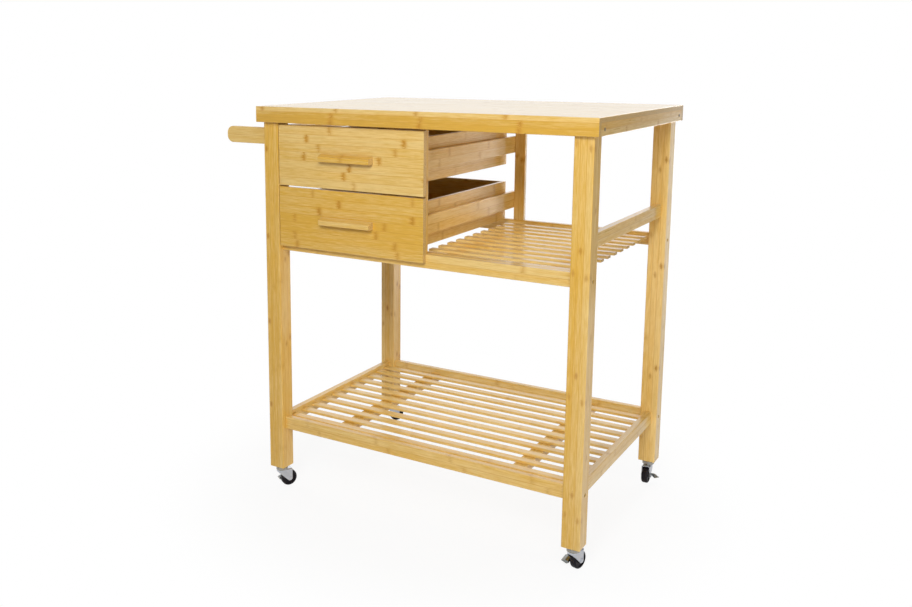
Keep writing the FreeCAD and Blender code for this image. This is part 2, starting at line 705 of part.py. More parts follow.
def make_arm(front_or_rear):
    """A flat arm with a rounded tip, tenoned into the leg and seated for the bar."""
    y = "leg_front + arm_inset" if front_or_rear == "front" else "leg_rear - arm_inset - rail_thick"
    extent = ("arm_reach", "rail_thick", "arm_height")
    arm = new_body(f"handle_arm_{front_or_rear}", "arm_tip", y, "arm_z")
    side = new_sketch(arm, "XZ_Plane")
    draw_rectangle(side, "0", "0", "arm_reach", "arm_height")
    base = pad(arm, side, "rail_thick", reverse=True)
    tip = round_edges(arm, base, "arm_round", both(runs_along(1), lies_at(0, 0)))
    sides = [lies_at(1, 0), lies_at(1, number("rail_thick"))]
    leg_end = lies_at(0, number("arm_reach"))
    round_edges(
        arm,
        tip,
        "board_round",
        lambda edge: any(test(edge) for test in sides) and not leg_end(edge),
    )
    tenon = new_sketch(arm, "YZ_Plane", "arm_reach - tenon_length")
    draw_rectangle(
        tenon,
        "(rail_thick - tenon_thick) / 2",
        "tenon_shoulder",
        "tenon_thick",
        "arm_height - 2 * tenon_shoulder",
    )
    pad(arm, tenon, "2 * tenon_length")
    inward = "rear" if front_or_rear == "front" else "front"
    seat = face_sketch(arm, inward, extent)
    draw_circle(seat, "bar_inset", "arm_height / 2", "bar_diameter + 2 * bar_play")
    cut_face(arm, inward, seat, "bar_seat")


def make_towel_bar():
    make_arm("front")
    make_arm("rear")
    inner_front = "leg_front + arm_inset + rail_thick"
    inner_rear = "leg_rear - arm_inset - rail_thick"
    bar = new_body(
        "handle_bar", "arm_tip + bar_inset", f"{inner_front} - bar_seat", "arm_z + arm_height / 2"
    )
    section = new_sketch(bar, "XZ_Plane")
    draw_circle(section, "0", "0", "bar_diameter")
    pad(bar, section, f"{inner_rear} - ({inner_front}) + 2 * bar_seat", reverse=True)


# Casters

LEG_CENTRES = {
    "front_left": ("leg_left + leg_size / 2", "leg_front + leg_size / 2"),
    "front_right": ("leg_right - leg_size / 2", "leg_front + leg_size / 2"),
    "rear_left": ("leg_left + leg_size / 2", "leg_rear - leg_size / 2"),
    "rear_right": ("leg_right - leg_size / 2", "leg_rear - leg_size / 2"),
}


def caster_body(label, corner, at_axle=False, tilt="0"):
    """A body in the caster's own frame: X along the trail, and the stem axis or the axle at 0."""
    x, y = LEG_CENTRES[corner]
    stem = f"placement(vector({x}; {y}; 0); rotation(vector(0; 0; 1); swivel_{corner}))"
    axle = f"placement(vector(trail; 0; axle_z); rotation(vector(0; 1; 0); {tilt}))"
    body = doc.addObject("PartDesign::Body", label)
    body.Label = label
    bind(body, "Placement", f"{stem} * {axle}" if at_axle else stem)
    pieces.append(body)
    return body


def turn(body, sketch, axis):
    """A turned form about one of the body's own axes."""
    feature = body.newObject("PartDesign::Revolution", f"{body.Name}_turn")
    feature.Profile = sketch
    feature.ReferenceAxis = (origin_feature(body, axis), [""])
    doc.recompute()
    return feature


def make_stems():
    """Four stems, each with its bearing cup, spindle and the head that holds the fork."""
    x, y = LEG_CENTRES["front_left"]
    stems = new_body("caster_stems", x, y, "0")
    section = new_sketch(stems, "XZ_Plane")
    shaft = "spindle_diameter / 2"
    head_top = "crown_in - race_gap"
    cup_foot = "crown_out + race_gap"
    draw_outline(
        section,
        [
            ("0", f"{head_top} - spindle_head_height"),
            ("spindle_head / 2", f"{head_top} - spindle_head_height"),
            ("spindle_head / 2", head_top),
            (shaft, head_top),
            (shaft, cup_foot),
            ("cup_diameter / 2", cup_foot),
            ("cup_diameter / 2", f"{cup_foot} + cup_lip"),
            ("cup_neck / 2", "caster_height"),
            (shaft, "caster_height"),
            (shaft, "caster_height + stem_length"),
            ("0", "caster_height + stem_length"),
        ],
    )
    stem = turn(stems, section, "Z_Axis")
    corners = stems.newObject("PartDesign::LinearPattern", "stem_corners")
    corners.Originals = [stem]
    corners.Direction = (origin_feature(stems, "X_Axis"), [""])
    bind(corners, "Length", "leg_span_x - leg_size")
    corners.Occurrences = 2
    corners.Direction2 = (origin_feature(stems, "Y_Axis"), [""])
    bind(corners, "Length2", "leg_span_y - leg_size")
    corners.Occurrences2 = 2
    stems.Tip = corners
    doc.recompute()


def add_rod(body, start, length, diameter):
    """A round bar along the axle, from a coordinate across the fork towards -Y."""
    sketch = new_sketch(body, "XZ_Plane", f"-({start})")
    draw_circle(sketch, "trail", "axle_z", diameter)
    return pad(body, sketch, length)


def make_fork(corner):
    """A pressed fork: a round-fronted crown, cheeks tapered to the axle, and the riveted axle."""
    fork = caster_body(f"caster_fork_{corner}", corner)
    side = new_sketch(fork, "XZ_Plane")
    tail = "trail + cheek_margin"
    foot = "axle_z - cheek_margin"
    draw_outline(
        side,
        [
            ("-fork_lead", "crown_out - fork_flange"),
            ("trail - cheek_nose", foot),
            (tail, foot),
            (tail, "crown_out"),
            ("-fork_lead", "crown_out"),
        ],
    )
    block = pad(fork, side, "2 * cheek_out", symmetric=True)
    block = round_edges(fork, block, "cheek_round", both(runs_along(1), lies_at(2, number(foot))))
    corners = both(runs_along(2), lies_at(0, -number("fork_lead")))
    block = round_edges(fork, block, "crown_round", corners)
    rim = both(runs_along(0), lies_at(2, number("crown_out")))
    round_edges(fork, block, "fork_round", rim)
    bend = "cheek_out - fork_lead"
    round_end = new_sketch(fork, "XY_Plane")
    draw_circle(round_end, bend, "0", "2 * cheek_in")
    pocket(fork, round_end, "crown_in", reverse=True)
    channel = new_sketch(fork, "XY_Plane")
    draw_rectangle(channel, bend, "-cheek_in", f"{tail} + fork_lead", "2 * cheek_in")
    hollow = pocket(fork, channel, "crown_in", reverse=True)
    rim = both(runs_along(0), lies_at(2, number("crown_in")))
    round_edges(fork, hollow, "fork_round - fork_thick", rim)
    hole = new_sketch(fork, "XY_Plane", "crown_out")
    draw_circle(hole, "0", "0", "spindle_diameter + 2 * spindle_play")
    pocket(fork, hole, "2 * fork_thick")

    lever_seat = "lever_out + lever_gap"
    add_rod(fork, lever_seat, f"{lever_seat} + cheek_out", "axle_diameter")
    plain_head = add_rod(fork, "-cheek_out", "rivet_height", "rivet_diameter")
    plain_rim = lies_at(1, -number("cheek_out + rivet_height"))
    round_edges(fork, plain_head, "rivet_round", plain_rim)
    lever_head = add_rod(fork, f"{lever_seat} + rivet_height", "rivet_height", "lever_head")
    lever_rim = lies_at(1, number(f"{lever_seat} + rivet_height"))
    round_edges(fork, lever_head, "rivet_round", lever_rim)


def make_wheel(corner):
    """A wheel with a rounded tread, dished sides and a hub that fills the fork."""
    wheel = caster_body(f"caster_wheel_{corner}", corner, at_axle=True)
    section = new_sketch(wheel, "XY_Plane")
    half = [
        ("axle_diameter / 2 + axle_play", "cheek_in - hub_gap"),
        ("hub_diameter / 2", "cheek_in - hub_gap"),
        ("hub_diameter / 2", "wheel_width / 2 - dish_depth"),
        ("wheel_diameter / 2 - rim_width", "wheel_width / 2 - dish_depth"),
        ("wheel_diameter / 2 - rim_width", "wheel_width / 2"),
        ("wheel_diameter / 2", "wheel_width / 2"),
    ]
    mirrored = [(radius, f"-({across})") for radius, across in reversed(half)]
    draw_outline(section, half + mirrored)
    body = turn(wheel, section, "Y_Axis")

    def tread_rim(edge):
        circle = edge.Curve
        on_tread = 0.01
        return hasattr(circle, "Radius") and abs(circle.Radius - number("wheel_diameter / 2")) < on_tread

    round_edges(wheel, body, "wheel_round", tread_rim)


def make_brake(corner):
    """A bent lever: an eye on the axle, a wing that reaches out from the cheek and a lip at its toe."""
    lever = caster_body(f"caster_brake_{corner}", corner, at_axle=True, tilt="-lever_tilt")
    toe = "-(lever_shift + lever_length / 2)"
    wing = new_sketch(lever, "YZ_Plane", toe)
    knee = "lever_in + lever_knee"
    tip = "lever_in + lever_reach"
    draw_outline(
        wing,
        [
            ("lever_in", "0"),
            ("lever_out", "0"),
            ("lever_out", "lever_root"),
            (knee, "lever_root + lever_crest"),
            (tip, "-lever_drop"),
            (tip, "lever_thick - lever_drop"),
            (knee, "lever_root + lever_crest + lever_thick"),
            ("lever_in", "lever_root + lever_thick"),
        ],
    )
    pad(lever, wing, "lever_length")
    lip = new_sketch(lever, "YZ_Plane", toe)
    draw_outline(
        lip,
        [
            ("lever_in", "0"),
            (knee, "-lever_lip"),
            (tip, "-lever_drop"),
            (knee, "lever_root + lever_crest"),
            ("lever_in", "lever_root"),
        ],
    )
    pad(lever, lip, "lever_thick")
    eye = new_sketch(lever, "XZ_Plane", "-lever_in")
    draw_circle(eye, "0", "0", "eye_diameter")
    pad(lever, eye, "lever_thick", reverse=True)
    hole = new_sketch(lever, "XZ_Plane", "-lever_out")
    draw_circle(hole, "0", "0", "axle_diameter + 2 * axle_play")
    pocket(lever, hole, "lever_thick", reverse=True)


def make_casters():
    make_stems()
    for corner in LEG_CENTRES:
        make_fork(corner)
        make_wheel(corner)
        make_brake(corner)


def check_document():
    """Stop before anything is written if an object failed, a cut missed or a shape is bad."""
    doc.recompute()
    for item in doc.Objects:
        if "Invalid" in item.State or "Error" in item.State:
            raise RuntimeError(f"{item.Label} failed: {item.State}")
    for feature in cuts:
        if feature.Shape.Volume >= feature.BaseFeature.Shape.Volume:
            raise RuntimeError(f"{feature.Label} cuts nothing")
    for piece in pieces:
        if piece.Shape.isNull() or not piece.Shape.isValid():
            raise RuntimeError(f"{piece.Label} has no valid shape")


make_worktop()
make_frame()
make_bolts()
make_barrel_nuts()
make_shelves()
make_drawer("upper")
make_drawer("lower")
make_towel_bar()
make_casters()
check_document()

os.makedirs("parts", exist_ok=True)
for piece in pieces:
    piece.Shape.exportStep(f"parts/{piece.Label}.step")
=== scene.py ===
"""Looks of the bamboo kitchen cart: lacquered bamboo, zinc casters, screws, and the studio round it."""

import math
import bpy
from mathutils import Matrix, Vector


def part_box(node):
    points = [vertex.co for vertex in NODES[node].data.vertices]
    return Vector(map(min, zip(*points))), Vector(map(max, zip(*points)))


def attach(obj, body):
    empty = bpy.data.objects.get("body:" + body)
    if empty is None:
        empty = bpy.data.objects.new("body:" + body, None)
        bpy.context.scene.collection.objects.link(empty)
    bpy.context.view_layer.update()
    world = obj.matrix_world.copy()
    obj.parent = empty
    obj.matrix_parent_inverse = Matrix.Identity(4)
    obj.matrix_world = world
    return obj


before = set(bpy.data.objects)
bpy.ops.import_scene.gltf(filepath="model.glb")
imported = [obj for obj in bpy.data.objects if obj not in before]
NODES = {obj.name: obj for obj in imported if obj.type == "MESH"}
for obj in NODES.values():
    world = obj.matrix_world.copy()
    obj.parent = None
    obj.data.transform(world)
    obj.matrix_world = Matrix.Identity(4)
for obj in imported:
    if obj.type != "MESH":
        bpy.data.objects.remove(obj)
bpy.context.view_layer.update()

from types import SimpleNamespace

import bmesh
import bpy
from mathutils import Matrix, Vector

MM = 0.001


class Graph:
    """Short-hand for building a material's nodes."""

    def __init__(self, name):
        self.material = bpy.data.materials.new(name)
        self.material.use_nodes = True
        self.tree = self.material.node_tree
        self.tree.nodes.clear()

    def node(self, kind, inputs=None, **settings):
        node = self.tree.nodes.new(kind)
        for key, value in settings.items():
            setattr(node, key, value)
        for key, value in (inputs or {}).items():
            self.feed(node.inputs[key], value)
        return node

    def feed(self, socket, value):
        if isinstance(value, bpy.types.NodeSocket):
            self.tree.links.new(value, socket)
        else:
            socket.default_value = value

    def math(self, operation, first, second=0.0, clamp=False):
        node = self.node("ShaderNodeMath", {0: first, 1: second}, operation=operation, use_clamp=clamp)
        return node.outputs[0]

    def plus(self, first, second):
        return self.math("ADD", first, second)

    def minus(self, first, second):
        return self.math("SUBTRACT", first, second)

    def times(self, first, second):
        return self.math("MULTIPLY", first, second)

    def over(self, first, second):
        return self.math("DIVIDE", first, second)

    def swing(self, noise, width):
        """A noise about a half, turned into an amount about zero."""
        return self.times(self.minus(noise, 0.5), width)

    def ramp(self, value, low, high, start=0.0, end=1.0):
        """Value from start to end, smoothly, as the input goes from low to high."""
        node = self.node(
            "ShaderNodeMapRange",
            {"Value": value, "From Min": low, "From Max": high, "To Min": start, "To Max": end},
            interpolation_type="SMOOTHSTEP",
        )
        return node.outputs["Result"]

    def noise(self, vector, scale, detail, roughness):
        node = self.node(
            "ShaderNodeTexNoise",
            {"Vector": vector, "Scale": scale, "Detail": detail, "Roughness": roughness},
        )
        return node.outputs["Fac"]

    def chances(self, vector):
        """Three numbers from 0 to 1, which change only where the vector does."""
        noise = self.node("ShaderNodeTexWhiteNoise", {"Vector": vector})
        parts = self.node("ShaderNodeSeparateColor", {"Color": noise.outputs["Color"]})
        return [parts.outputs[index] for index in range(3)]

    def mix(self, factor, first, second):
        node = self.node("ShaderNodeMix", data_type="RGBA")
        self.feed(node.inputs[0], factor)
        self.feed(node.inputs[6], first)
        self.feed(node.inputs[7], second)
        return node.outputs[2]

    def scale(self, colour, factor):
        node = self.node("ShaderNodeVectorMath", {0: colour, "Scale": factor}, operation="SCALE")
        return node.outputs[0]

    def split(self, vector):
        return self.node("ShaderNodeSeparateXYZ", {"Vector": vector}).outputs

    def join(self, x, y, z):
        return self.node("ShaderNodeCombineXYZ", {"X": x, "Y": y, "Z": z}).outputs[0]

    def bump(self, height, strength, distance):
        inputs = {"Height": height, "Strength": strength, "Distance": distance}
        return self.node("ShaderNodeBump", inputs).outputs[0]

    def principled(self, inputs):
        """The finished material, with one principled shader."""
        return self.finish(self.node("ShaderNodeBsdfPrincipled", inputs))

    def finish(self, shader):
        self.node("ShaderNodeOutputMaterial", {"Surface": shader.outputs[0]})
        return self.material


# Bamboo colours, as the lacquered wood shows them in plain light
PALE = (0.76, 0.535, 0.195, 1.0)
GOLDEN = (0.68, 0.385, 0.045, 1.0)
NODE_HALO = (0.55, 0.265, 0.020, 1.0)
NODE_CORE = (0.45, 0.195, 0.012, 1.0)
NODE_EYE = (0.45, 0.185, 0.010, 1.0)
END_GRAIN = (0.60, 0.39, 0.135)

# Streaks of fibre: share of the length along the grain, then scale, detail and roughness of the noise
FINE_STREAKS = (0.06, 560.0, 4.0, 0.62)
BROAD_STREAKS = (0.025, 150.0, 3.0, 0.55)
# Noises with no direction: scale, detail and roughness
CLOUDS = (9.0, 2.0, 0.5)
FLECKS = (330.0, 3.0, 0.65)
END_SPECKLES = (1100.0, 2.0, 0.5)

# How far each noise turns a point from pale to golden, and how light and dark the fine fibres are
FINE_WEIGHT = 2.0
BROAD_WEIGHT = 1.5
CLOUD_WEIGHT = 0.5
FIBRE_RANGE = (0.30, 0.70)
LIGHT_FIBRE = 1.04
DARK_FIBRE = 0.95

# Glue lines: how dark they are, and where their edge begins and ends beside the strip's edge
SEAM_DEPTH = 0.75
SEAM_EDGE = (0.2 * MM, 0.6 * MM)
# Added to a gap on the faces that lie along a strip's layer, where no glue line shows
NO_SEAM = 10.0 * MM

# Places of the cane's nodes along the grain: a group of strips shares one spacing and one beginning,
# and each strip is shifted a little from its group, further where the board has eyes
NODE_SPACING = 190.0 * MM
SPACING_SPREAD = 100.0 * MM
GROUPS_PER_STRIP = 0.4
GROUP_SHIFT = 3.0
STRIP_SHIFT = 110.0 * MM
EYE_SHIFT = 150.0 * MM
NODE_RAGGED = 18.0 * MM
BEFORE_THE_BOARD = 10.0

# Marks at a node: a soft halo, a dark core in it, both weaker and torn towards the strip's edges
FAINTEST_NODE = 0.40
BAND_EDGE = 4.0 * MM
BAND_TORN = 12.0 * MM
BAND_AT_SEAM = 0.30
HALO_REACH = 12.0 * MM
HALO_FIBRES = (0.26, 0.50)
CORE_REACH = 4.5 * MM
CORE_FULL = 1.0 * MM
CORE_FLECKS = (0.36, 0.54)
CORE_STRENGTH = 0.60
CORE_HOLLOW = 0.8

# Dark ovals at the nodes, on those strips whose random number is high enough
EYE_HALF_WIDTH = 3.4 * MM
EYE_HALF_LENGTH = 9.0 * MM
EYE_RAGGED = 1.2
EYE_EDGE = (1.3, 0.2)
EYE_CHANCE = (0.14, 0.24)

# End grain: how squarely a face has to look along the grain, and the speckles on it
END_FACING = (0.75, 0.95)
SPECKLE_RANGE = (0.42, 0.62)
SPECKLE_SHADES = (0.75, 1.25)
END_ROUGHER = 0.15

LACQUER_ROUGHNESS = (0.27, 0.38)
LACQUER_RANGE = (0.3, 0.7)
LACQUER_IOR = 1.5
LACQUER_COAT = 0.5
LACQUER_COAT_ROUGHNESS = 0.14
GRAIN_BUMP = (0.08, 0.3 * MM)


def lay_strips(graph, grain, origin, strip, seed):
    """Where a point is in its board and strip, which way its face looks, and the strip's random numbers."""
    coords = graph.node("ShaderNodeTexCoord")
    place = graph.split(coords.outputs["Object"])
    normal = graph.split(coords.outputs["Normal"])
    facing = {axis: graph.math("ABSOLUTE", normal[axis]) for axis in "XYZ"}
    across = [axis for axis in "XYZ" if axis != grain]
    sides = [graph.minus(place[axis], origin["XYZ".index(axis)]) for axis in across]
    cells = [graph.over(side, size) for side, size in zip(sides, strip)]
    indices = [graph.math("FLOOR", cell) for cell in cells]
    shade, strength, jitter = graph.chances(graph.join(*indices, seed))

    # Distances from the strip's edge and from its middle, on the faces that cross the strips
    gaps = []
    off_middle = 0.0
    for axis, cell, size in zip(across, cells, strip):
        nearest = graph.times(graph.math("PINGPONG", cell, 0.5), size)
        gaps.append(graph.plus(nearest, graph.times(facing[axis], NO_SEAM)))
        inward = graph.times(graph.minus(size / 2, nearest), graph.minus(1.0, facing[axis]))
        off_middle = graph.plus(off_middle, inward)
    return SimpleNamespace(
        place=coords.outputs["Object"],
        along=place[grain],
        sides=sides,
        indices=indices,
        shade=shade,
        strength=graph.ramp(strength, 0.0, 1.0, FAINTEST_NODE, 1.0),
        jitter=jitter,
        gap=graph.math("MINIMUM", *gaps),
        off_middle=off_middle,
        end_facing=facing[grain],
    )


def lay_streaks(graph, strips, seed, stretch, *noise):
    """Streaks of fibre along the grain, at a place in the noise that is the board's own."""
    stretched = graph.join(graph.times(strips.along, stretch), *strips.sides)
    own_place = (seed, seed * 0.7, seed * 0.3)
    shifted = graph.node("ShaderNodeVectorMath", {0: stretched, 1: own_place}, operation="ADD")
    return graph.noise(shifted.outputs[0], *noise)


def node_distance(graph, strips, fine, eyes, seed):
    """How far along the grain a point is from the nearest node of its strip of cane."""
    groups = [graph.math("FLOOR", graph.times(index, GROUPS_PER_STRIP)) for index in strips.indices]
    group_spacing, group_start, _ = graph.chances(graph.join(*groups, seed + 0.5))
    spacing = graph.plus(graph.times(group_spacing, SPACING_SPREAD), NODE_SPACING)
    strip_shift = graph.times(strips.jitter, STRIP_SHIFT + EYE_SHIFT * eyes)
    shift = graph.plus(graph.times(group_start, GROUP_SHIFT), strip_shift)
    started = graph.plus(graph.plus(strips.along, graph.swing(fine, NODE_RAGGED)), shift)
    turns = graph.math("FRACT", graph.over(graph.plus(started, BEFORE_THE_BOARD), spacing))
    return graph.times(graph.math("ABSOLUTE", graph.minus(turns, 0.5)), spacing)


def node_eye(graph, strips, distance, fleck, eyes):
    """Strength of the dark oval at a node, in the middle of the strip."""
    width = graph.math("POWER", graph.over(strips.off_middle, EYE_HALF_WIDTH), 2.0)
    length = graph.math("POWER", graph.over(distance, EYE_HALF_LENGTH), 2.0)
    oval = graph.math("SQRT", graph.plus(width, length))
    ragged = graph.plus(oval, graph.swing(fleck, EYE_RAGGED))
    eye = graph.times(graph.ramp(ragged, *EYE_EDGE), graph.ramp(strips.jitter, *EYE_CHANCE))
    return graph.times(eye, graph.times(strips.strength, eyes))


def bamboo(name, grain, origin, strip, tone, light, contrast, bands, eyes, seed):
    """Glued bamboo strips: grain along one axis, strips counted across the other two from an origin.

    strip is the strip's size along the two axes across the grain, tone runs from pale to golden,
    light is the board's lightness, partly its own and partly painted light and shade for how the lamps
    fall on it, contrast the spread of tone between its strips, bands the strength of the marks across a
    strip at the cane's nodes, and eyes that of the dark ovals there.
    """
    graph = Graph(name)
    strips = lay_strips(graph, grain, origin, strip, seed)
    fine = lay_streaks(graph, strips, seed, *FINE_STREAKS)
    broad = lay_streaks(graph, strips, seed, *BROAD_STREAKS)
    cloud = graph.noise(strips.place, *CLOUDS)
    fleck = graph.noise(strips.place, *FLECKS)

    # Fibres, between pale and golden
    golden = graph.plus(graph.times(strips.shade, contrast), graph.times(broad, BROAD_WEIGHT))
    golden = graph.plus(golden, graph.times(fine, FINE_WEIGHT))
    golden = graph.plus(golden, graph.times(cloud, CLOUD_WEIGHT))
    middle = (contrast + BROAD_WEIGHT + FINE_WEIGHT + CLOUD_WEIGHT) / 2
    golden = graph.math("ADD", golden, tone - middle, clamp=True)
    lightness = graph.ramp(fine, *FIBRE_RANGE, LIGHT_FIBRE * light, DARK_FIBRE * light)
    colour = graph.scale(graph.mix(golden, PALE, GOLDEN), lightness)

    # Nodes of the cane: a ragged band across one strip, near the bands of the strips beside it
    distance = node_distance(graph, strips, fine, eyes, seed)
    torn = graph.plus(strips.gap, graph.swing(fleck, BAND_TORN))
    band = graph.times(graph.ramp(torn, 0.0, BAND_EDGE, BAND_AT_SEAM, 1.0), strips.strength)
    halo = graph.times(graph.ramp(distance, HALO_REACH, 0.0), graph.ramp(fine, *HALO_FIBRES))
    halo = graph.times(halo, graph.times(band, bands))
    core = graph.times(graph.ramp(distance, CORE_REACH, CORE_FULL), graph.ramp(fleck, *CORE_FLECKS))
    core = graph.times(core, graph.times(band, CORE_STRENGTH * bands))
    colour = graph.mix(halo, colour, NODE_HALO)
    colour = graph.mix(core, colour, NODE_CORE)

    # Glue lines between the strips, and a dark eye at some nodes
    colour = graph.mix(graph.ramp(strips.gap, *SEAM_EDGE, SEAM_DEPTH, 0.0), colour, NODE_HALO)
    colour = graph.mix(node_eye(graph, strips, distance, fleck, eyes), colour, NODE_EYE)

    # End grain: cut fibres, darker and speckled
    cut = graph.ramp(strips.end_facing, *END_FACING)
    speckles = graph.ramp(graph.noise(strips.place, *END_SPECKLES), *SPECKLE_RANGE, *SPECKLE_SHADES)
    colour = graph.mix(cut, colour, graph.scale(END_GRAIN, speckles))

    rough = graph.ramp(broad, *LACQUER_RANGE, *LACQUER_ROUGHNESS)
    height = graph.minus(fine, graph.times(core, CORE_HOLLOW))
    return graph.principled(
        {
            "Base Color": colour,
            "Roughness": graph.plus(rough, graph.times(cut, END_ROUGHER)),
            "IOR": LACQUER_IOR,
            "Coat Weight": LACQUER_COAT,
            "Coat Roughness": LACQUER_COAT_ROUGHNESS,
            "Normal": graph.bump(height, *GRAIN_BUMP),
        }
    )


# Metals: colour and roughness
ZINC_PLATE = ((0.60, 0.63, 0.69), 0.32)
# The cup's zinc is darker than the fork's as painted shade: it sits in the leg's shadow and mirrors the
# leg's dark underside
SHADED_CUP_STEEL = ((0.42, 0.41, 0.37), 0.26)
LEVER_STEEL = ((0.27, 0.29, 0.29), 0.17)
# Near black: a black-oxide finish, and painted shade of the counterbores the bolt heads sit in
BOLT_STEEL = ((0.10, 0.08, 0.06), 0.36)
SCREW_STEEL = ((0.20, 0.17, 0.14), 0.32)

# Clouds in the plating, the fine marks of the rolling, and painted shade in the corner under the wood, for
# the leg's shadow and the dark wood mirrored there
PLATING_CLOUDS = (90.0, 2.0, 0.5)
PLATING_RANGE = (0.3, 0.7)
PLATING_DARK = 0.93
PLATING_SMOOTHER = 0.03
PLATING_ROUGHER = 0.05
ROLLING_MARKS = (1400.0, 2.0, 0.5)
ROLLING_BUMP = (0.03, 0.1 * MM)
PAINTED_LEG_SHADE = (0.055, 0.030, 0.014, 1.0)
PAINTED_SHADE_REACH = 9.0 * MM
PAINTED_SHADE_STRENGTH = 0.9


def zinc(name, shade, roughness, painted_shade_top=None):
    """Plated steel with faint clouds and fine rolling marks, with painted dark shade just under a height if
    one is given.
    """
    graph = Graph(name)
    place = graph.node("ShaderNodeTexCoord").outputs["Object"]
    cloud = graph.noise(place, *PLATING_CLOUDS)
    dark = tuple(PLATING_DARK * part for part in shade)
    colour = graph.mix(cloud, (*dark, 1.0), (*shade, 1.0))
    if painted_shade_top is not None:
        height = graph.split(place)["Z"]
        # Painted shade: darker just under the leg's foot, for the leg's shadow and the dark wood the cup
        # mirrors there
        painted_shade = graph.ramp(height, painted_shade_top - PAINTED_SHADE_REACH, painted_shade_top, 0.0, PAINTED_SHADE_STRENGTH)
        colour = graph.mix(painted_shade, colour, PAINTED_LEG_SHADE)
    smoothest, roughest = roughness - PLATING_SMOOTHER, roughness + PLATING_ROUGHER
    return graph.principled(
        {
            "Base Color": colour,
            "Metallic": 1.0,
            "Roughness": graph.ramp(cloud, *PLATING_RANGE, smoothest, roughest),
            "Normal": graph.bump(graph.noise(place, *ROLLING_MARKS), *ROLLING_BUMP),
        }
    )


TREAD_BLACK = (0.0045, 0.0035, 0.0055, 1.0)
TREAD_DUSTY = (0.010, 0.008, 0.012, 1.0)
TREAD_DUST = (130.0, 4.0, 0.6)
TREAD_DUST_RANGE = (0.3, 0.75)
TREAD_ROUGHNESS = (0.34, 0.48)
TREAD_SPECULAR = 0.22
TREAD_GRAIN = (1800.0, 2.0, 0.5)
TREAD_BUMP = (0.12, 0.1 * MM)


def wheel_plastic():
    """Black moulded plastic with a fine grain, a little dusty in places."""
    graph = Graph("wheel_plastic")
    place = graph.node("ShaderNodeTexCoord").outputs["Object"]
    dust = graph.noise(place, *TREAD_DUST)
    return graph.principled(
        {
            "Base Color": graph.mix(dust, TREAD_BLACK, TREAD_DUSTY),
            "Roughness": graph.ramp(dust, *TREAD_DUST_RANGE, *TREAD_ROUGHNESS),
            "Specular IOR Level": TREAD_SPECULAR,
            "Normal": graph.bump(graph.noise(place, *TREAD_GRAIN), *TREAD_BUMP),
        }
    )


# Finishes of the CAD nodes

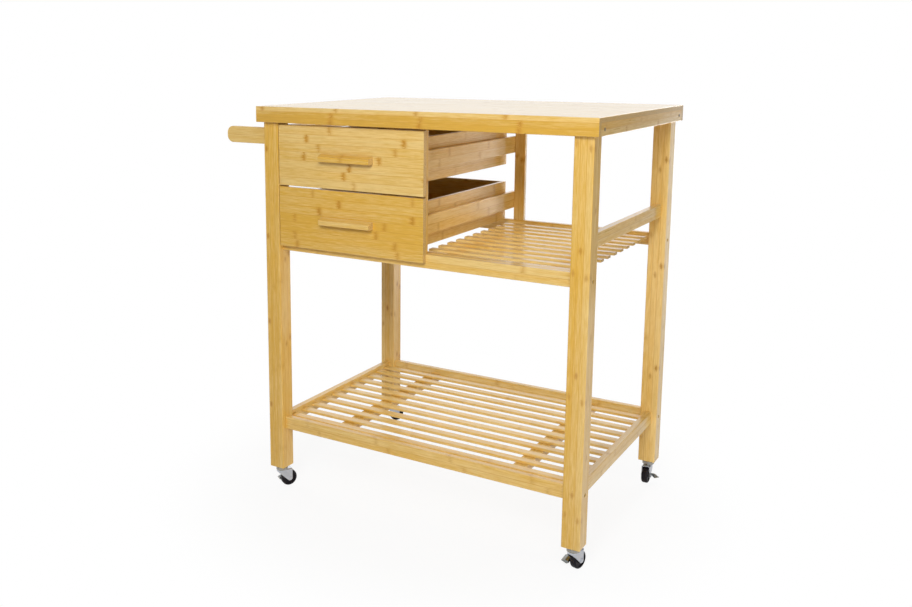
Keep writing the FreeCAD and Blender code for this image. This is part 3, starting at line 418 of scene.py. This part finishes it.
# Grain axis, strip size across it in mm, tone, lightness, contrast, bands and eyes, by the beginning of
# a node's name; the first row that fits counts. The strip sizes follow the two axes across the grain,
# in X, Y, Z order.
# Lightness is partly each board's own and partly painted light and shade: raised on boards that sit in shade
# (the rear right leg, the lower runners, the lower drawer's sides), lowered a little on the worktop's front
# edge, and 0.60 on the drawer bottoms as painted shade inside the drawers
BAMBOO_BOARDS = [
    ("worktop_panel", "X", (21.0, 40.0), 0.22, 1.00, 0.6, 0.8, 0.0),
    ("worktop_edge_front", "X", (40.0, 13.0), 0.86, 0.92, 0.6, 1.0, 0.0),
    ("worktop_edge_rear", "X", (40.0, 13.0), 0.60, 1.00, 0.6, 0.7, 0.0),
    ("worktop_edge", "Y", (40.0, 13.0), 0.58, 0.96, 0.6, 0.7, 0.0),
    ("leg_front_right", "Z", (13.4, 13.4), 0.45, 0.98, 0.9, 0.3, 1.0),
    # Lightness 1.10 is partly painted light on the rear right leg, whose front sits in the worktop's shade
    ("leg_rear_right", "Z", (13.4, 13.4), 0.28, 1.10, 0.9, 0.3, 1.0),
    ("leg_front_left", "Z", (13.4, 13.4), 0.48, 1.02, 0.9, 0.3, 1.0),
    ("leg_rear_left", "Z", (13.4, 13.4), 0.52, 1.02, 0.9, 0.3, 1.0),
    ("bottom_rail_left", "Y", (40.0, 15.0), 0.40, 1.00, 0.6, 0.45, 0.0),
    ("bottom_rail_right", "Y", (40.0, 15.0), 0.40, 1.00, 0.6, 0.45, 0.0),
    ("bottom_rail", "X", (40.0, 15.0), 0.36, 1.03, 0.6, 0.45, 0.0),
    ("mid_rail_right", "Y", (40.0, 15.0), 0.34, 1.06, 0.6, 0.45, 0.0),
    ("mid_rail", "X", (40.0, 15.0), 0.20, 1.01, 0.6, 0.45, 0.0),
    ("post", "Z", (14.0, 40.0), 0.40, 1.00, 0.6, 0.9, 0.0),
    ("upper_runner", "Y", (40.0, 21.0), 0.24, 1.02, 0.6, 0.5, 0.0),
    # Lightness 1.15 is partly painted light on the lower runners, in the shade of the drawer bay
    ("lower_runner", "Y", (40.0, 21.0), 0.34, 1.15, 0.6, 0.5, 0.0),
    ("upper_drawer_front", "X", (40.0, 19.7), 0.26, 0.98, 0.4, 1.0, 0.0),
    ("lower_drawer_front", "X", (40.0, 19.7), 0.86, 0.98, 0.4, 1.0, 0.0),
    ("upper_drawer_pull", "X", (30.0, 30.0), 0.66, 1.00, 0.4, 0.7, 0.0),
    ("lower_drawer_pull", "X", (30.0, 30.0), 0.36, 1.00, 0.4, 0.7, 0.0),
    # Painted shade: lightness 0.60 darkens the drawer bottoms, as for the shaded inside of the drawers
    ("upper_drawer_bottom", "Y", (40.0, 19.6), 0.70, 0.60, 0.4, 0.5, 0.0),
    ("lower_drawer_bottom", "Y", (40.0, 19.6), 0.70, 0.60, 0.4, 0.5, 0.0),
    ("upper_drawer_back", "X", (40.0, 20.0), 0.40, 1.00, 0.4, 0.9, 0.0),
    ("lower_drawer_back", "X", (40.0, 20.0), 0.40, 1.00, 0.4, 0.9, 0.0),
    ("upper_drawer", "Y", (40.0, 19.6), 0.26, 1.03, 0.4, 0.5, 0.0),
    # Lightness 1.10 is partly painted light on the lower drawer's sides, in the shade under the worktop
    ("lower_drawer", "Y", (40.0, 19.6), 0.38, 1.10, 0.4, 0.5, 0.0),
    ("mid_shelf_slats", "X", (42.75, 40.0), 0.14, 1.00, 0.6, 0.25, 0.0),
    ("bottom_shelf_slats", "X", (42.75, 40.0), 0.30, 1.04, 0.6, 0.25, 0.0),
    ("mid_shelf_battens", "Y", (60.0, 40.0), 0.45, 1.00, 0.6, 0.9, 0.0),
    ("bottom_shelf_battens", "Y", (60.0, 40.0), 0.45, 1.00, 0.6, 0.9, 0.0),
    ("handle_bar", "Y", (60.0, 60.0), 0.45, 1.00, 0.6, 0.7, 0.0),
    ("handle_arm", "X", (40.0, 19.0), 0.45, 1.00, 0.6, 0.8, 0.0),
]
SEED_STEP = 1.7
# The first strip begins this far outside the board, so that no glue line falls on the board's own face
STRIP_MARGIN = 0.2 * MM


def paint(node, material):
    """Give a CAD node its finish."""
    slots = NODES[node].data.materials
    if not slots:
        slots.append(material)
    for index in range(len(slots)):
        slots[index] = material


def dress_bamboo():
    """Every board gets strips of its own, counted from its lower corner."""
    for number, node in enumerate(sorted(NODES)):
        match = next((row for row in BAMBOO_BOARDS if node.startswith(row[0])), None)
        if match is None:
            continue
        _, grain, strip_mm, *looks = match
        corner = [value - STRIP_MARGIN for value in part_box(node)[0]]
        strip = [size * MM for size in strip_mm]
        paint(node, bamboo(f"bamboo_{node}", grain, corner, strip, *looks, seed=SEED_STEP * number))


def dress_metal():
    """The casters, bolts and nuts get their finish by the beginning of the node's name."""
    leg_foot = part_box("leg_front_left")[0][2]
    bolt_steel = zinc("bolt_steel", *BOLT_STEEL)
    finishes = {
        "caster_fork": zinc("zinc_plate", *ZINC_PLATE),
        # The cup gets the darker zinc, painted darker still under the leg's foot, as painted shade
        "caster_stems": zinc("shaded_cup_steel", *SHADED_CUP_STEEL, leg_foot),
        "caster_brake": zinc("lever_steel", *LEVER_STEEL),
        "caster_wheel": wheel_plastic(),
        "frame_bolts": bolt_steel,
        "barrel_nuts": bolt_steel,
    }
    for node in NODES:
        for beginning, material in finishes.items():
            if node.startswith(beginning):
                paint(node, material)


dress_bamboo()
dress_metal()


# Small turned pieces: screw heads and wooden caps

SCREW_RADIUS = 3.5 * MM
SCREW_PROUD = 0.7 * MM
SCREW_SUNK = 0.6 * MM
SCREW_SIDES = 28
# Shares of the radius and of the height, from the rim inwards
SCREW_PROFILE = [(1.0, 0.15), (0.95, 0.60), (0.84, 0.90), (0.70, 1.0)]
RECESS_ARM = 2.1 * MM
RECESS_HALF = 0.45 * MM
RECESS_DEPTH = 1.0 * MM
RECESS_TAPER = 0.7

CAP_RADIUS = 6.0 * MM
CAP_PROUD = 0.5 * MM
CAP_SUNK = 0.2 * MM
CAP_SIDES = 32
CAP_PROFILE = [(1.0, 0.40), (0.97, 0.70), (0.90, 0.88), (0.50, 0.97)]
CAP_STRIP = (40.0 * MM, 40.0 * MM)
# Tone, lightness, contrast, bands and eyes, as for the boards
CAP_LOOKS = (0.40, 1.0, 0.4, 0.0, 0.0)
CAP_SEED = 3.1

SLAT_WIDTH = 20.0 * MM
SLAT_COUNT = 11
BATTEN_WIDTH = 30.0 * MM
NUT_RADIUS = 5.0 * MM


def stand_on(place, outward):
    """The axes of a small piece that stands on a face, with Z away from the face."""
    turn = Vector(outward).to_track_quat("Z", "Y").to_matrix().to_4x4()
    return Matrix.Translation(place) @ turn


def add_ring(mesh, stand, radius, height, sides):
    """A circle of points about the piece's own axis."""
    angles = [2 * math.pi * step / sides for step in range(sides)]
    spots = [Vector((radius * math.cos(angle), radius * math.sin(angle), height)) for angle in angles]
    return [mesh.verts.new(stand @ spot) for spot in spots]


def join_rings(mesh, low, high):
    count = len(low)
    for step in range(count):
        after = (step + 1) % count
        mesh.faces.new((low[step], low[after], high[after], high[step]))


def add_turned(mesh, stand, radius, sunk, proud, profile, sides):
    """The foot and the rim of a turned piece; gives back the ring that its face starts from."""
    outline = [(radius, -sunk)] + [(wide * radius, tall * proud) for wide, tall in profile]
    rings = [add_ring(mesh, stand, ring_radius, height, sides) for ring_radius, height in outline]
    for low, high in zip(rings, rings[1:]):
        join_rings(mesh, low, high)
    mesh.faces.new(list(reversed(rings[0])))
    return rings[-1]


def cross_outline():
    """Corners of the cross recess, counter-clockwise."""
    arm, half = RECESS_ARM, RECESS_HALF
    outline = []
    for turns in range(4):
        for x, y in [(arm, -half), (arm, half), (half, half)]:
            for _ in range(turns):
                x, y = -y, x
            outline.append((x, y))
    return outline


def add_screw_head(mesh, place, outward):
    """One low pan head with a cross recess, standing on a face."""
    stand = stand_on(place, outward)
    face = add_turned(mesh, stand, SCREW_RADIUS, SCREW_SUNK, SCREW_PROUD, SCREW_PROFILE, SCREW_SIDES)
    outline = cross_outline()
    deep = SCREW_PROUD - RECESS_DEPTH
    rim = [mesh.verts.new(stand @ Vector((x, y, SCREW_PROUD))) for x, y in outline]
    narrowed = [(RECESS_TAPER * x, RECESS_TAPER * y) for x, y in outline]
    foot = [mesh.verts.new(stand @ Vector((x, y, deep))) for x, y in narrowed]
    join_rings(mesh, foot, rim)
    mesh.faces.new(foot)
    loops = []
    for ring in (face, rim):
        for step in range(len(ring)):
            pair = (ring[step], ring[(step + 1) % len(ring)])
            loops.append(mesh.edges.get(pair) or mesh.edges.new(pair))
    upward = stand.to_3x3() @ Vector((0, 0, 1))
    bmesh.ops.triangle_fill(mesh, edges=loops, use_beauty=True, normal=upward)


def add_cap(mesh, place, outward):
    """A thin disc with a rounded rim and a slightly domed face."""
    stand = stand_on(place, outward)
    face = add_turned(mesh, stand, CAP_RADIUS, CAP_SUNK, CAP_PROUD, CAP_PROFILE, CAP_SIDES)
    middle = mesh.verts.new(stand @ Vector((0, 0, CAP_PROUD)))
    for step in range(CAP_SIDES):
        mesh.faces.new((face[step], face[(step + 1) % CAP_SIDES], middle))


def add_row(name, places, outward, material, add_one):
    """A row of like small pieces on the cart, all facing one way."""
    mesh = bmesh.new()
    for place in places:
        add_one(mesh, Vector(place), outward)
    data = bpy.data.meshes.new(name)
    mesh.to_mesh(data)
    mesh.free()
    data.materials.append(material)
    row = bpy.data.objects.new(name, data)
    bpy.context.scene.collection.objects.link(row)
    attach(row, "cart")


def screw_edge_boards(material):
    """The end boards of the worktop are screwed to the legs, one screw at each leg."""
    middles = [sum(corner[1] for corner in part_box(f"leg_{row}_left")) / 2 for row in ("front", "rear")]
    for side, end, outward in (("left", 0, (-1, 0, 0)), ("right", 1, (1, 0, 0))):
        low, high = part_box(f"worktop_edge_{side}")
        x = (low, high)[end][0]
        places = [(x, y, (low[2] + high[2]) / 2) for y in middles]
        add_row(f"edge_screws_{side}", places, outward, material, add_screw_head)


def screw_slats(material):
    """Each slat is screwed from below, through both battens."""
    for shelf in ("bottom", "mid"):
        low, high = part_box(f"{shelf}_shelf_battens")
        front, rear = (corner[1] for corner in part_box(f"{shelf}_shelf_slats"))
        first, last = front + SLAT_WIDTH / 2, rear - SLAT_WIDTH / 2
        rows = [first + (last - first) * step / (SLAT_COUNT - 1) for step in range(SLAT_COUNT)]
        columns = (low[0] + BATTEN_WIDTH / 2, high[0] - BATTEN_WIDTH / 2)
        places = [(x, y, low[2]) for x in columns for y in rows]
        add_row(f"{shelf}_slat_screws", places, (0, 0, -1), material, add_screw_head)


def cap_nuts():
    """Caps over the barrel nuts: a row on the inner faces of the front rails, and one on the rear rails'."""
    low, high = (Vector(corner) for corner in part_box("barrel_nuts"))
    columns = (low.x + NUT_RADIUS, high.x - NUT_RADIUS)
    levels = (low.z + NUT_RADIUS, high.z - NUT_RADIUS)
    wood = bamboo("bamboo_caps", "X", low, CAP_STRIP, *CAP_LOOKS, seed=CAP_SEED)
    inner_faces = {
        "front": (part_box("bottom_rail_front")[1][1], 1),
        "rear": (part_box("bottom_rail_rear")[0][1], -1),
    }
    for row, (face, way) in inner_faces.items():
        places = [(x, face, z) for x in columns for z in levels]
        add_row(f"nut_caps_{row}", places, (0, way, 0), wood, add_cap)


screw_steel = zinc("screw_steel", *SCREW_STEEL)
screw_edge_boards(screw_steel)
screw_slats(screw_steel)
cap_nuts()


# Studio

WHITE = (1.0, 1.0, 1.0, 1.0)
FLOOR_HALF = 12.0
FLOOR_GREY = (0.86, 0.86, 0.86, 1.0)
FLOOR_MIRRORED = 0.3
# The floor is all white to the camera beyond the second distance, and nearly so within the first
FLOOR_SHADED = (0.40, 0.75)
FLOOR_WHITE_NEAR = 0.90

BACKDROP_Y = 2.0
BACKDROP_TOP = 3.5
# Left end, right end and brightness of the lit backdrop's parts, the last one a dark flag beside it
BACKDROP_PARTS = [(-6.0, 0.4, 1.22), (0.4, 0.62, 8.5), (0.62, 1.0, 1.0), (1.0, 4.5, 0.0)]

LIT_POINT = (0.0, 0.0, 0.5)
PLAIN_TINT = (1.0, 1.0, 1.0)
WARM_TINT = (1.0, 0.94, 0.86)
# Name, place, size, power and tint of each lamp
SOFTBOXES = [
    ("key_softbox", (0.6, -2.4, 1.9), (0.7, 0.7), 38.0, PLAIN_TINT),
    ("high_fill", (1.23, -1.82, 2.2), (1.0, 1.0), 17.0, PLAIN_TINT),
    ("low_fill", (1.45, -2.16, 0.62), (1.0, 0.6), 5.5, PLAIN_TINT),
    ("side_fill", (2.57, -0.36, 0.62), (1.0, 0.6), 14.2, WARM_TINT),
    ("left_fill", (-2.5, 0.35, 0.95), (1.0, 0.8), 14.0, PLAIN_TINT),
]

# The photograph's camera, from the cart's own straight edges, with no more lens shift than that needs
PHOTO_WIDTH = 912
PHOTO_HEIGHT = 607
FOCAL_PX = 965.9
PRINCIPAL_PX = (380.0, 220.0)
CAMERA_PLACE = (1.0636, -2.0073, 1.0346)
CAMERA_PITCH_DOWN = 9.613
CAMERA_YAW = 32.098
SENSOR_MM = 36.0


def stage_sheet(name, corners, material):
    """One flat sheet of the studio: the floor or a part of the backdrop."""
    mesh = bpy.data.meshes.new(name)
    mesh.from_pydata(corners, [], [(0, 1, 2, 3)])
    mesh.materials.append(material)
    sheet = bpy.data.objects.new(name, mesh)
    bpy.context.scene.collection.objects.link(sheet)
    return sheet


def stage_floor():
    """A pale floor that the camera sees as white, with the cart's soft shadow on it."""
    graph = Graph("floor_white")
    paths = graph.node("ShaderNodeLightPath").outputs
    gloss = graph.times(paths["Is Glossy Ray"], FLOOR_MIRRORED)
    seen = graph.math("MAXIMUM", paths["Is Camera Ray"], gloss)
    seen = graph.math("MAXIMUM", seen, paths["Is Transmission Ray"])
    place = graph.node("ShaderNodeTexCoord").outputs["Object"]
    reach = graph.node("ShaderNodeVectorMath", {0: place}, operation="LENGTH").outputs["Value"]
    share = graph.times(seen, graph.ramp(reach, *FLOOR_SHADED, FLOOR_WHITE_NEAR, 1.0))
    matt = graph.node("ShaderNodeBsdfDiffuse", {"Color": FLOOR_GREY})
    white = graph.node("ShaderNodeEmission", {"Color": WHITE, "Strength": 1.0})
    both = graph.node("ShaderNodeMixShader", {0: share, 1: matt.outputs[0], 2: white.outputs[0]})
    half = FLOOR_HALF
    corners = [(-half, -half, 0), (half, -half, 0), (half, half, 0), (-half, half, 0)]
    stage_sheet("floor", corners, graph.finish(both))


def glow(name, strength):
    """Plain white light from a sheet."""
    graph = Graph(name)
    return graph.finish(graph.node("ShaderNodeEmission", {"Color": WHITE, "Strength": strength}))


def stage_backdrop():
    """A lit white sheet behind the cart, and a dark flag to its right that the lacquer mirrors too."""
    for number, (left, right, strength) in enumerate(BACKDROP_PARTS):
        corners = [
            (left, BACKDROP_Y, 0.0),
            (right, BACKDROP_Y, 0.0),
            (right, BACKDROP_Y, BACKDROP_TOP),
            (left, BACKDROP_Y, BACKDROP_TOP),
        ]
        sheet = stage_sheet(f"backdrop_{number}", corners, glow(f"backdrop_{number}_glow", strength))
        sheet.visible_camera = False
        sheet.visible_shadow = False


def stage_world():
    """White where the camera looks, straight or in a mirror; only lamps and backdrop light the cart."""
    world = bpy.data.worlds.new("studio")
    bpy.context.scene.world = world
    world.use_nodes = True
    tree = world.node_tree
    tree.nodes.clear()
    paths = tree.nodes.new("ShaderNodeLightPath")
    seen = paths.outputs["Is Camera Ray"]
    for kind in ("Is Glossy Ray", "Is Transmission Ray"):
        either = tree.nodes.new("ShaderNodeMath")
        either.operation = "MAXIMUM"
        tree.links.new(seen, either.inputs[0])
        tree.links.new(paths.outputs[kind], either.inputs[1])
        seen = either.outputs[0]
    white = tree.nodes.new("ShaderNodeBackground")
    white.inputs["Color"].default_value = WHITE
    tree.links.new(seen, white.inputs["Strength"])
    out = tree.nodes.new("ShaderNodeOutputWorld")
    tree.links.new(white.outputs[0], out.inputs["Surface"])


def add_softbox(name, place, size, power, tint):
    """A rectangular lamp that faces the cart and isn't seen, straight or in a mirror."""
    lamp = bpy.data.lights.new(name, "AREA")
    lamp.shape = "RECTANGLE"
    lamp.size, lamp.size_y = size
    lamp.energy = power
    lamp.color = tint
    box = bpy.data.objects.new(name, lamp)
    box.location = place
    aim = Vector(LIT_POINT) - Vector(place)
    box.rotation_euler = aim.to_track_quat("-Z", "Y").to_euler()
    box.visible_camera = False
    box.visible_glossy = False
    bpy.context.scene.collection.objects.link(box)


def stage_camera():
    lens = bpy.data.cameras.new("photo_camera")
    lens.sensor_fit = "HORIZONTAL"
    lens.sensor_width = SENSOR_MM
    lens.lens = FOCAL_PX / PHOTO_WIDTH * SENSOR_MM
    lens.shift_x = (PHOTO_WIDTH / 2 - PRINCIPAL_PX[0]) / PHOTO_WIDTH
    lens.shift_y = (PRINCIPAL_PX[1] - PHOTO_HEIGHT / 2) / PHOTO_WIDTH
    camera = bpy.data.objects.new("photo_camera", lens)
    camera.location = CAMERA_PLACE
    camera.rotation_euler = (math.radians(90.0 - CAMERA_PITCH_DOWN), 0.0, math.radians(CAMERA_YAW))
    scene = bpy.context.scene
    scene.collection.objects.link(camera)
    scene.camera = camera


stage_floor()
stage_backdrop()
stage_world()
for softbox in SOFTBOXES:
    add_softbox(*softbox)
stage_camera()
bpy.context.scene.view_settings.view_transform = "Standard"
